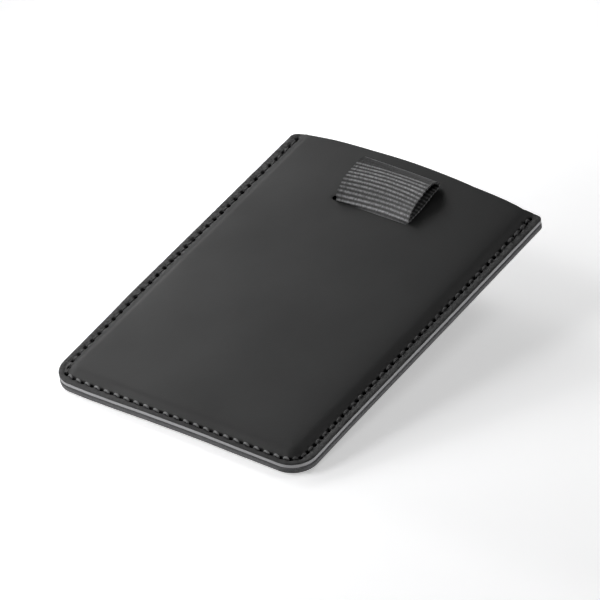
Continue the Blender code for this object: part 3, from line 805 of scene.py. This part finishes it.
def stitched(holes, base, sign, low, high, slant, steps=26):
    """A thread that rises out of one hole, arches over and dives into the next, on the front or the back.

    On the front's left side, below its first holes, it lies sunk between them instead.
    """
    route = []
    shares, heights = zip(*STITCH_SHAPE)
    for index in range(len(holes) - 1):
        a, b = np.array(holes[index]), np.array(holes[index + 1])
        along = (b - a) / np.linalg.norm(b - a)
        across = np.array([-along[1], along[0]])
        wobble = 0.03 * math.sin(index * 2.3)
        tall = high * (1 + 0.12 * math.sin(index * 1.7 + 1))
        if a[0] < LEFT_COLUMN and COLUMN_FOOT < b[1] < a[1]:
            tall *= SUNK
        for t in np.arange(steps) / steps:
            share = np.interp(t, shares, heights)
            flat = a + (b - a) * t + across * (slant * math.sin(2 * math.pi * t) + wobble * max(share, 0.0))
            rise = (tall if share > 0 else low) * share
            ground = base + (float(pillow(inset_of(*flat), flat[0])) if sign > 0 else 0.0)
            route.append((flat[0], flat[1], ground + sign * rise))
    route.append((*holes[-1], base - sign * low))
    return route


needle = tube("needle_stitches", [stitched(HOLES, FRONT_SKIN[1] - 0.14, 1, 0.6, 0.22, 0.06),
                                  stitched(LEFT_TACKS, FRONT_SKIN[1] - 0.08, 1, 0.5, 0.26, -0.06),
                                  stitched(RIGHT_TACKS, FRONT_SKIN[1] - 0.08, 1, 0.5, 0.26, -0.06)], THREAD,
              radius=0.25)
bobbin = tube("bobbin_stitches", [stitched(HOLES, 0.30, -1, 0.25, 0.04, -0.05)], THREAD)
# The thread's stretches down in the holes get the painted hole shade.
needle.data.materials.append(PAINTED_HOLE_SHADE)
for face in needle.data.polygons:
    if face.center.z < (FRONT_SKIN[1] - 0.34) * MM:
        face.material_index = 1
x, y, _ = places(needle).T
# Painted highlight: the bottom row's thread pale, the right column's slightly, the left column's barely.
tag(needle, "painted_light", np.where(y < BOTTOM + SEAM + 0.7, 1.0, np.where(x < 0, 0.03, 0.15)))
for piece, replaced in ((needle, "needle_thread"), (bobbin, "bobbin_thread")):
    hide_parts(replaced)
    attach(piece, "holder")


# The ribbon
def smooth_route(points, steps=10):
    """A Catmull-Rom curve through the points."""
    p = np.array([points[0], *points, points[-1]], float)
    out = []
    for i in range(1, len(p) - 2):
        for t in np.linspace(0, 1, steps, endpoint=False):
            out.append(0.5 * (2 * p[i] + (p[i + 1] - p[i - 1]) * t
                              + (2 * p[i - 1] - 5 * p[i] + 4 * p[i + 1] - p[i + 2]) * t**2
                              + (3 * p[i] - p[i - 1] - 3 * p[i + 1] + p[i + 2]) * t**3))
    out.append(p[-1])
    return np.array(out)


def even(route, count):
    """The route at even steps, and how far along it each point lies."""
    gone = gone_along(route)
    marks = np.linspace(0, gone[-1], count + 1)
    return np.stack([np.interp(marks, gone, route[:, k]) for k in range(2)], 1), marks


def sheet_faces(count, across):
    """The faces of a closed strip: an upper and a lower grid of points, their long edges and their ends."""
    wide, under = across + 1, (count + 1) * (across + 1)
    faces = []
    for i in range(count):
        for k in range(across):
            a = i * wide + k
            faces.append((a, a + 1, a + wide + 1, a + wide))
            faces.append((under + a, under + a + wide, under + a + wide + 1, under + a + 1))
        for k in (0, across):
            a = i * wide + k
            faces.append((a, a + wide, under + a + wide, under + a)[:: 1 if k == 0 else -1])
    for i in (0, count):
        for k in range(across):
            a = i * wide + k
            faces.append((a, under + a, under + a + 1, a + 1)[:: 1 if i == 0 else -1])
    return faces


# The ribbon's tone at these distances from its edge; the painted shade of its inner face, its painted light where no
# table gives one, and the painted shade of its flattened ribs; and its thickness on each side
EDGE_TONE = ((0.25, 0.55, 0.95, 1.15, 1.3, 1.55), (0.55, 1.0, 1.0, 0.4, 0.4, 1.0))
INNER_TONE = 0.4
PLAIN_TONE = 0.83
FLAT_TONE = 0.05
SELVEDGE = 0.045
HALF_THICK = 0.11
RIB_RISE = 0.14
BEAD_RISE = 0.06


def ribbon_mesh(name, left, middle=None, right=None, spacing=0.11, phase=0.0, sway=None, relief=None, painted_light_along=None,
                across=72, span=(0.0, 1.0)):
    """Grosgrain along routes in the YZ plane, for its edges and middle: ribs on both faces, bumpy selvedges.

    sway shifts the ribbon sideways and relief flattens its ribs, each by the share of the way along; the third table
    scales the ribs' tone in the same way, as painted light and shade. span is the share of the route that this piece
    covers.
    """
    routes = [np.asarray(route, float) for route in (left, middle or left, right or left)]
    count = max(2, int(round(gone_along(routes[1])[-1] / spacing)))
    s = np.linspace(-1, 1, across + 1)
    s = np.sign(s) * (1 - (1 - np.abs(s)) ** 1.25)
    weights = (s * (s - 1) / 2, 1 - s * s, s * (s + 1) / 2)
    rows = [even(route, count) for route in routes]
    line = sum(points[:, None, :] * weight[None, :, None] for (points, _), weight in zip(rows, weights))
    marks = sum(gone[:, None] * weight[None, :] for (_, gone), weight in zip(rows, weights))
    along = np.gradient(line, axis=0)
    along /= np.linalg.norm(along, axis=2, keepdims=True)
    normal = np.stack([-along[:, :, 1], along[:, :, 0]], 2)
    gone = np.linspace(0, 1, count + 1)
    shift, ribs, painted_light = (np.interp(gone, *table)[:, None] if table else np.full((count + 1, 1), plain)
                           for table, plain in ((sway, 0.0), (relief, 1.0), (painted_light_along, PLAIN_TONE)))
    selvedge = np.clip((np.abs(s) - (1 - SELVEDGE)) / SELVEDGE, 0, 1)[None, :]
    drift = 0.04 * smooth_noise(np.broadcast_to(s * RIBBON_WIDTH / 2, marks.shape), marks, 3.0, 3)
    wave = 0.5 + 0.5 * np.cos(2 * math.pi * ((marks + drift) / RIB_PITCH + phase))
    thick = HALF_THICK + RIB_RISE * wave**1.2 * ribs * (1 - selvedge) + BEAD_RISE * (1 + wave) * selvedge
    x = s[None, :] * RIBBON_WIDTH / 2 * (1 + 0.006 * (wave - 0.5) * selvedge) + STRAP_X + shift
    first, last = (int(round(share * count)) for share in span)
    solid = []
    for side in (1, -1):
        y, z = (line[:, :, k] + side * normal[:, :, k] * thick for k in (0, 1))
        solid.append(np.stack([x, y, z], 2)[first:last + 1].reshape(-1, 3))
    piece = make_object(name, np.concatenate(solid), sheet_faces(last - first, across), RIBBON)
    tidy_normals(piece)
    from_edge = (1 - np.abs(s)) * RIBBON_WIDTH / 2
    # Apart from the tone by distance from the edge, the tagged tone is painted light and shade: pale crests as a
    # painted highlight, dark valleys and flattened ribs as painted shade, lighter and darker stretches along the way,
    # and a darker inner face as painted shade inside the loop.
    tone = (wave**1.8 * ribs + FLAT_TONE * (1 - ribs)) * painted_light * np.interp(from_edge, *EDGE_TONE)[None, :]
    tone = tone[first:last + 1]
    inner = tone * np.interp(np.abs(s), (0.86, 0.94), (INNER_TONE, 1.0))[None, :]
    tag(piece, "rib_crest_and_shade", np.concatenate([tone.ravel(), inner.ravel()]))
    return piece


# The tab's centre line at its left edge, middle and right edge: over the crown, round the end and back
TAB_LEFT = ((30.40, 2.89), (30.10, 3.46), (30.03, 3.95), (30.41, 4.96), (31.29, 5.68), (32.35, 5.98), (33.37, 6.22),
            (34.47, 6.56), (35.54, 6.79), (36.64, 6.92), (37.73, 7.01), (38.78, 7.09), (39.87, 7.22), (40.72, 7.28),
            (41.71, 7.18), (42.65, 6.88), (43.46, 6.29), (43.95, 5.55), (44.05, 4.90), (43.75, 4.40),
            (42.90, 4.13), (41.00, 4.15), (39.00, 4.25), (37.00, 4.20), (35.00, 4.10), (33.50, 4.02))
TAB_MIDDLE = ((30.40, 2.86), (30.75, 3.41), (31.08, 3.79), (31.96, 4.44), (32.98, 4.97), (33.98, 5.41), (34.97, 5.77),
              (36.08, 6.09), (37.15, 6.31), (38.25, 6.44), (39.34, 6.49), (40.39, 6.45), (41.48, 6.29), (42.30, 6.08),
              (43.24, 5.72), (44.12, 5.26), (44.97, 4.72), (45.30, 4.38), (45.15, 4.10), (44.50, 4.02),
              (43.00, 4.10), (41.00, 4.25), (39.00, 4.32), (37.00, 4.25), (35.00, 4.10), (33.50, 4.02))
TAB_RIGHT = ((30.40, 3.05), (30.43, 3.69), (30.59, 4.17), (31.30, 4.99), (32.32, 5.51), (33.40, 5.69), (34.45, 5.79),
             (35.59, 5.90), (36.67, 6.12), (37.73, 6.42), (38.81, 6.63), (39.85, 6.73), (40.95, 6.73), (41.79, 6.64),
             (42.74, 6.33), (43.59, 5.81), (44.25, 5.07), (44.42, 4.62), (44.20, 4.32), (43.40, 4.28),
             (42.00, 4.45), (40.50, 4.60), (38.60, 4.45), (36.80, 4.20), (35.00, 4.06), (33.50, 4.00))
TAB_SWAY = ((0, 0.05, 0.10, 0.20, 0.53, 0.58, 0.66, 0.74, 1), (0.8, 0.8, 0.6, 0, 0, 0.2, 0.6, 0.8, 0.8))
TAB_RELIEF = ((0, 0.395, 0.415, 0.464, 0.480, 1), (1, 1, 0.08, 0.08, 0.9, 0.8))
# Painted light and shade along the tab: its first ribs light, the next ones darker, the ribs towards the crown
# lightest.
TAB_PAINTED_LIGHT = ((0, 0.04, 0.08, 0.12, 0.15, 0.20, 0.25, 0.29, 0.33, 0.40, 1),
            (0.92, 0.92, 0.75, 0.66, 0.66, 0.78, 0.90, 1.0, 1.0, 0.83, 0.83))
TAB_SPAN = (0.034, 0.983)
TAB_PHASE = 0.92
START = (SLOT_Y - LAYER_SPACING / 2, FRONT_TOP + 0.3)
DOWN_Y = SLOT_Y + LAYER_SPACING / 2


def tab_piece(name, span):
    """A share of the ribbon that comes up through the slot, makes the loop and goes back down."""
    routes = [list(smooth_route(points + ((DOWN_Y + 1.0, START[1]),)))
              + [(DOWN_Y + 0.3, START[1] - 0.06), (DOWN_Y, START[1] - 0.3), (DOWN_Y, START[1] - 0.7)]
              for points in (TAB_LEFT, TAB_MIDDLE, TAB_RIGHT)]
    return ribbon_mesh(name, *routes, phase=TAB_PHASE, sway=TAB_SWAY, relief=TAB_RELIEF, painted_light_along=TAB_PAINTED_LIGHT, span=span)


tab_loop = tab_piece("tab_loop", TAB_SPAN)
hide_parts("pull_tab")
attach(tab_piece("slot_ribbon_up", (0.0, TAB_SPAN[0])), "holder")
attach(tab_piece("slot_ribbon_down", (TAB_SPAN[1], 1.0)), "holder")
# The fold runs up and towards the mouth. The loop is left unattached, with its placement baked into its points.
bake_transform(tab_loop)

RESERVE_Y = (31.35, 31.85)
RESERVE_Z = 3.93
RESERVE_SWAY = 0.8
RESERVE_HALF_THICK = 0.10
RESERVE_ACROSS = 24
RESERVE_STEPS = 4


def reserve():
    """The ribbon that the pull draws out of the slot: gathered inside the tab's base, even when drawn out."""
    rows = RESERVE_STEPS * int(TRAVEL / RIB_PITCH)
    share = np.linspace(0, 1, rows + 1)
    gathered = 0.5 - np.sin(np.arcsin(1 - 2 * share) / 3)
    rib_crest_and_shade = 0.5 + 0.5 * np.cos(2 * math.pi * share * TRAVEL / RIB_PITCH)
    x = STRAP_X + RESERVE_SWAY + np.linspace(-1, 1, RESERVE_ACROSS + 1) * (RIBBON_WIDTH / 2 - 0.1)
    y = RESERVE_Y[0] + gathered * (RESERVE_Y[1] - RESERVE_Y[0])
    thick = RESERVE_HALF_THICK * (1 + rib_crest_and_shade)
    points = [(across, along, height) for side in (1, -1) for along, height in zip(y, RESERVE_Z + side * thick)
              for across in x]
    piece = make_object("reserve_ribbon", points, sheet_faces(rows, RESERVE_ACROSS), RIBBON)
    tidy_normals(piece)
    # Painted highlight on the crests and painted shade in the valleys, as on the rest of the ribbon.
    tag(piece, "rib_crest_and_shade", np.tile(np.repeat(rib_crest_and_shade, RESERVE_ACROSS + 1), 2))
    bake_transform(piece)


reserve()


STRAP_ACROSS = 24


def strap_piece(name, replaced, route, spacing=0.2):
    """A length of the ribbon inside the holder."""
    piece = ribbon_mesh(name, route, spacing=spacing, across=STRAP_ACROSS)
    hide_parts(replaced)
    return piece


INSIDE_Y = CRADLE_Y + CRADLE_LEG + 0.05
front_run = strap_piece("strap_front", "strap_front_run",
                        [(START[0], FRONT_TOP - 0.8), (START[0], 2.6), (START[0] - 0.15, 2.25),
                         (START[0] - 0.5, FRONT_RUN_Z), (INSIDE_Y, FRONT_RUN_Z)])
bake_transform(front_run)
tail = strap_piece("strap_tail", "tab_tail",
                   [(DOWN_Y, FRONT_TOP - 0.45), (DOWN_Y, 2.6), (DOWN_Y - 0.15, TAIL_Z + 0.1), (DOWN_Y - 0.5, TAIL_Z),
                    (SLOT_Y - TAIL, TAIL_Z)])
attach(tail, "holder")

TURN_RADIUS = (FRONT_RUN_Z - BACK_RUN_Z) / 2
cradle = strap_piece("strap_turn", "strap_cradle",
                     [(CRADLE_Y + CRADLE_LEG, BACK_RUN_Z)]
                     + [(CRADLE_Y + TURN_RADIUS - TURN_RADIUS * math.sin(turn),
                         BACK_RUN_Z + TURN_RADIUS - TURN_RADIUS * math.cos(turn))
                        for turn in np.linspace(0, math.pi, 13)]
                     + [(CRADLE_Y + CRADLE_LEG, FRONT_RUN_Z)], spacing=0.11)
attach(cradle, "cradle")
back_run = strap_piece("strap_back", "strap_back_run", [(INSIDE_Y, BACK_RUN_Z), (ANCHOR_Y, BACK_RUN_Z)])
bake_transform(back_run)

# Carried-over solids
for name, finish in (("front_shield", FOIL), ("back_shield", FOIL), ("anchor_stitch", THREAD)):
    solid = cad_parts[name]
    solid.data.materials.clear()
    solid.data.materials.append(finish)


# The stage: a pale floor that falls away under the raised mouth
FLOOR_REACH = 6000
FLOOR_FALL = math.tan(math.radians(12.0))
FLOOR_BEND = 12
FLOOR_GAP = 0.02
FLOOR_GLOW = 0.46


def floor_material():
    """White paper that camera and glossy rays see a little brighter, clear from below."""
    made, tree, shader = new_material("floor_paper")
    paper = noise(tree, coords(tree), 300, 3)
    dress(tree, shader, {"Base Color": ramp(tree, paper, ((0.3, 0.90), (0.7, 0.92))), "Roughness": 0.95,
                         "Specular IOR Level": 0.0})
    rays = node(tree, "ShaderNodeLightPath").outputs
    seen = math_node(tree, "MAXIMUM", rays["Is Camera Ray"], rays["Is Glossy Ray"])
    glow = node(tree, "ShaderNodeEmission", {"Color": (1, 1, 1, 1),
                                             "Strength": math_node(tree, "MULTIPLY", seen, FLOOR_GLOW)})
    both = node(tree, "ShaderNodeAddShader", {0: shader.outputs["BSDF"], 1: glow.outputs["Emission"]})
    side = node(tree, "ShaderNodeNewGeometry")
    clear = node(tree, "ShaderNodeBsdfTransparent")
    mix = node(tree, "ShaderNodeMixShader", {"Fac": side.outputs["Backfacing"], 1: both.outputs["Shader"],
                                             2: clear.outputs["BSDF"]})
    dress(tree, tree.nodes["Material Output"], {"Surface": mix.outputs["Shader"]})
    return made


def floor():
    """Level up to the holder's foot, then bending over a short way into a long slope down."""
    bend_y = BOTTOM - FLOOR_BEND / 2
    rows = [(-FLOOR_REACH, 0.0), (bend_y, 0.0)]
    for share in np.linspace(0, 1, 9)[1:]:
        rows.append((bend_y + FLOOR_BEND * share, -FLOOR_FALL * FLOOR_BEND / 2 * share * share))
    rows.append((FLOOR_REACH, rows[-1][1] - FLOOR_FALL * (FLOOR_REACH - rows[-1][0])))
    points = [(x, y, z - FLOOR_GAP) for y, z in rows for x in (-FLOOR_REACH, FLOOR_REACH)]
    faces = [(2 * i, 2 * i + 1, 2 * i + 3, 2 * i + 2) for i in range(len(rows) - 1)]
    make_object("floor", points, faces, floor_material())


floor()


# Light
def softbox(name, place, size, power, target=(0, 0, 0)):
    """A rectangular lamp, turned to its target and hidden from the camera."""
    lamp = bpy.data.lights.new(name, "AREA")
    lamp.shape = "RECTANGLE"
    lamp.size, lamp.size_y = size
    lamp.energy = power
    stand = bpy.data.objects.new(name, lamp)
    stand.location = place
    stand.rotation_euler = (Vector(target) - Vector(place)).to_track_quat("-Z", "Y").to_euler()
    stand.visible_camera = False
    bpy.context.scene.collection.objects.link(stand)


def white_world():
    """A faint ambient light that the camera sees as white."""
    world = bpy.data.worlds.new("studio")
    world.use_nodes = True
    tree = world.node_tree
    background = tree.nodes["Background"]
    dress(tree, background, {"Color": (1, 1, 1, 1), "Strength": 0.01})
    white = node(tree, "ShaderNodeBackground", {"Strength": 1.0})
    rays = node(tree, "ShaderNodeLightPath").outputs
    choose = node(tree, "ShaderNodeMixShader", {"Fac": rays["Is Camera Ray"], 1: background.outputs["Background"],
                                                2: white.outputs["Background"]})
    dress(tree, tree.nodes["World Output"], {"Surface": choose.outputs["Shader"]})
    bpy.context.scene.world = world


softbox("key", (-0.122, -0.022, 0.070), (0.41, 0.06), 0.23, (0, -0.022, 0))
softbox("back_left", (-0.62, 0.32, 0.39), (0.3, 0.3), 0.9)
softbox("front_left", (-0.45, -0.31, 0.71), (0.35, 0.35), 1.8)
softbox("front", (-0.35, -0.65, 0.35), (0.3, 0.3), 1.85)
softbox("right", (0.3, 0.5, 0.65), (0.3, 0.3), 1.1)
softbox("low_side", (0.75, -0.20, 0.03), (0.3, 0.05), 2.4)
white_world()

# Camera, fitted to the even row of stitch holes: its place, its directions and its focal length in pixels
EYE = (0.62313, -0.71548, 0.78257)
RIGHT = (0.81109, 0.57175, -0.12340)
AHEAD = (-0.50687, 0.58176, -0.63612)
FOCAL, PICTURE = 5432.3, 600
SENSOR = 36.0
camera = bpy.data.cameras.new("camera")
camera.sensor_width = camera.sensor_height = SENSOR
camera.sensor_fit = "HORIZONTAL"
camera.lens = SENSOR * FOCAL / PICTURE
camera.clip_start, camera.clip_end = 0.05, 20.0
eye = bpy.data.objects.new("camera", camera)
right, ahead = Vector(RIGHT).normalized(), Vector(AHEAD).normalized()
up = right.cross(ahead).normalized()
eye.matrix_world = Matrix.Translation(EYE) @ Matrix((right, up, -ahead)).transposed().to_4x4()
bpy.context.scene.collection.objects.link(eye)
bpy.context.scene.camera = eye
bpy.context.scene.view_settings.view_transform = "Standard"
